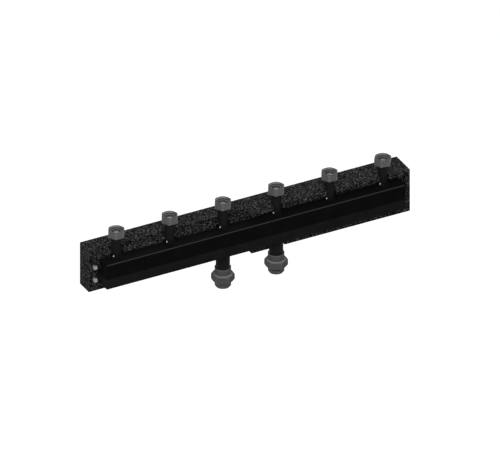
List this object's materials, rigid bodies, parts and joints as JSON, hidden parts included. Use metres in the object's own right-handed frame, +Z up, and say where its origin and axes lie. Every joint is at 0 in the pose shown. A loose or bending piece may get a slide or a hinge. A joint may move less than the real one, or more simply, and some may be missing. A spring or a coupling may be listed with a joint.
{
  "type": "distribution manifold",
  "caption": "Insulated two-chamber heating manifold: welded square bar in a foam half-shell, union nuts on top, unions below, plugged sockets at one end.",
  "frame": {"origin": "centre of the insulation's rear face, which lies against the wall", "axes": "+X along the bar to the right seen from the front, -Y out of the wall towards the front, +Z up along the top connections"},
  "size_m": [0.7432, 0.08, 0.2065],
  "materials": {
    "bead_foam": "bead-moulded foam",
    "upper_steel": "gloss black paint",
    "lower_steel": "gloss black paint",
    "stub_steel": "black paint",
    "weld_steel": "black paint over weld",
    "nut_steel": "dull grey",
    "gasket_fibre": "fibre",
    "zinc_plug": "zinc plated"
  },
  "bodies": {
    "manifold": {"rear_insulation_shell": "bead_foam", "upper_chamber": "upper_steel", "lower_chamber": "lower_steel", "partition_plate": "lower_steel", "top_weld_beads": "weld_steel", "lower_weld_beads": "weld_steel", "partition_weld_rings": "weld_steel", "top_stub_1": "stub_steel", "stub_collar_1": "stub_steel", "stub_gasket_1": "gasket_fibre", "top_stub_2": "stub_steel", "stub_collar_2": "stub_steel", "stub_gasket_2": "gasket_fibre", "top_stub_3": "stub_steel", "stub_collar_3": "stub_steel", "stub_gasket_3": "gasket_fibre", "top_stub_4": "stub_steel", "stub_collar_4": "stub_steel", "stub_gasket_4": "gasket_fibre", "top_stub_5": "stub_steel", "stub_collar_5": "stub_steel", "stub_gasket_5": "gasket_fibre", "top_stub_6": "stub_steel", "stub_collar_6": "stub_steel", "stub_gasket_6": "gasket_fibre", "lower_tube_1": "stub_steel", "lower_union_head_1": "nut_steel", "lower_union_gasket_1": "gasket_fibre", "lower_union_nut_1": "nut_steel", "lower_union_tail_1": "nut_steel", "lower_tube_2": "stub_steel", "lower_union_head_2": "nut_steel", "lower_union_gasket_2": "gasket_fibre", "lower_union_nut_2": "nut_steel", "lower_union_tail_2": "nut_steel", "upper_end_socket": "lower_steel", "upper_end_plug": "zinc_plug", "lower_end_socket": "lower_steel", "lower_end_plug": "zinc_plug"},
    "nut_1": {"union_nut_1": "nut_steel"},
    "nut_2": {"union_nut_2": "nut_steel"},
    "nut_3": {"union_nut_3": "nut_steel"},
    "nut_4": {"union_nut_4": "nut_steel"},
    "nut_5": {"union_nut_5": "nut_steel"},
    "nut_6": {"union_nut_6": "nut_steel"}
  },
  "joints": [
    {"name": "union_nut_1_spin", "type": "hinge", "parent": "manifold", "child": "nut_1", "pos_m": [-0.3125, -0.05, 0.08425], "axis": [0, 0, 1], "continuous": true},
    {"name": "union_nut_2_spin", "type": "hinge", "parent": "manifold", "child": "nut_2", "pos_m": [-0.1875, -0.05, 0.08425], "axis": [0, 0, 1], "continuous": true},
    {"name": "union_nut_3_spin", "type": "hinge", "parent": "manifold", "child": "nut_3", "pos_m": [-0.0625, -0.05, 0.08425], "axis": [0, 0, 1], "continuous": true},
    {"name": "union_nut_4_spin", "type": "hinge", "parent": "manifold", "child": "nut_4", "pos_m": [0.0625, -0.05, 0.08425], "axis": [0, 0, 1], "continuous": true},
    {"name": "union_nut_5_spin", "type": "hinge", "parent": "manifold", "child": "nut_5", "pos_m": [0.1875, -0.05, 0.08425], "axis": [0, 0, 1], "continuous": true},
    {"name": "union_nut_6_spin", "type": "hinge", "parent": "manifold", "child": "nut_6", "pos_m": [0.3125, -0.05, 0.08425], "axis": [0, 0, 1], "continuous": true}
  ]
}
